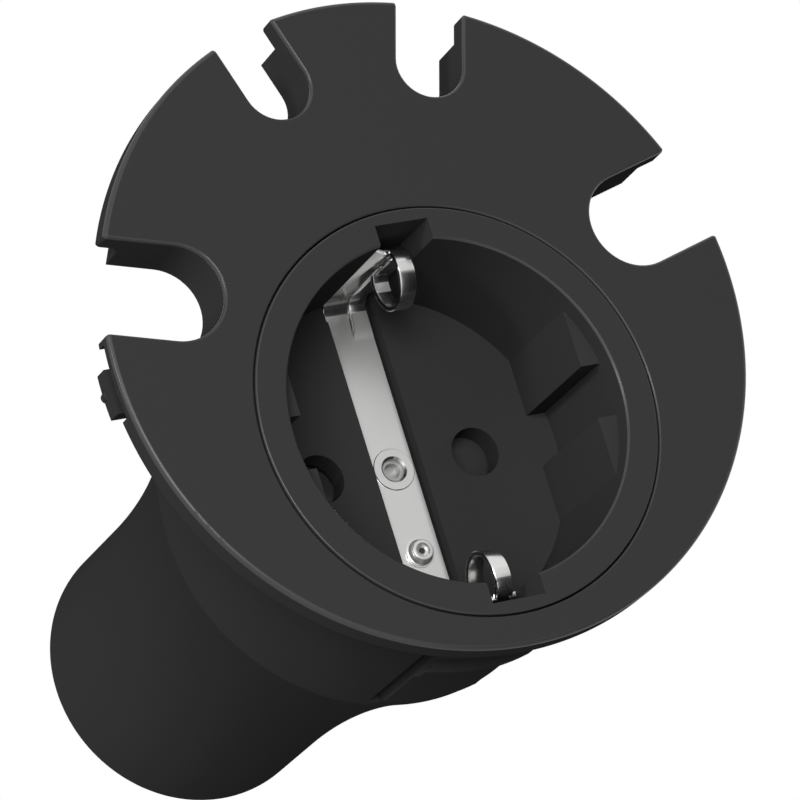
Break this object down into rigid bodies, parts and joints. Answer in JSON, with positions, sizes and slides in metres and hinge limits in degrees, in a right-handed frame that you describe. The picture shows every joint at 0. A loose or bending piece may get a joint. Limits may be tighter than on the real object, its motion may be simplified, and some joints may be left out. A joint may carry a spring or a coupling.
{
  "type": "built-in power socket",
  "caption": "Round built-in table socket: notched flange plate, recessed two-pin well with side earth clips, rotary shutter and bottle-shaped rear hood with cable entry.",
  "frame": {"origin": "centre of the flange disc on its underside, the face that rests on the table or panel", "axes": "+Z out of the socket face, +Y from the socket axis towards the flange centre and the small notches, +X along the line of the pin holes"},
  "size_m": [0.074, 0.074, 0.087],
  "materials": {
    "flange_plastic": "fine-grained matt moulding",
    "insert_plastic": "fine-grained matt moulding",
    "hood_plastic": "matt moulding",
    "shutter_plastic": "smooth moulding",
    "carrier_plastic": "plain moulding",
    "strap_steel": "nickel-plated sheet",
    "rivet_metal": "bright turned and rolled",
    "contact_brass": "bright stamped",
    "link_brass": "bright stamped",
    "terminal_brass": "plain machined",
    "screw_steel": "zinc-plated",
    "spring_steel": "bright drawn wire",
    "bush_rubber": "soft matt"
  },
  "bodies": {
    "socket": {"cover_flange": "flange_plastic", "socket_front": "insert_plastic", "body_shell": "hood_plastic", "contact_carrier": "carrier_plastic", "cord_clamp": "carrier_plastic", "earth_strap": "strap_steel", "earth_rivet": "rivet_metal", "earth_link": "link_brass", "shutter_spring": "spring_steel", "line_contact_ring": "spring_steel", "neutral_contact_ring": "spring_steel", "line_contact": "contact_brass", "neutral_contact": "contact_brass", "line_terminal": "terminal_brass", "neutral_terminal": "terminal_brass", "earth_terminal": "terminal_brass", "line_screw": "screw_steel", "neutral_screw": "screw_steel", "earth_screw": "screw_steel", "carrier_screw_a": "screw_steel", "carrier_screw_b": "screw_steel", "clamp_screw_a": "screw_steel", "clamp_screw_b": "screw_steel", "cable_bush": "bush_rubber"},
    "shutter": {"shutter": "shutter_plastic"}
  },
  "joints": [
    {"name": "shutter_turn", "type": "hinge", "parent": "socket", "child": "shutter", "pos_m": [0, -0.01033, -0.0194], "axis": [0, 0, 1], "range_deg": [0, 40], "stiffness_Nm_per_rad": 0.002, "springref_deg": -34.38}
  ]
}
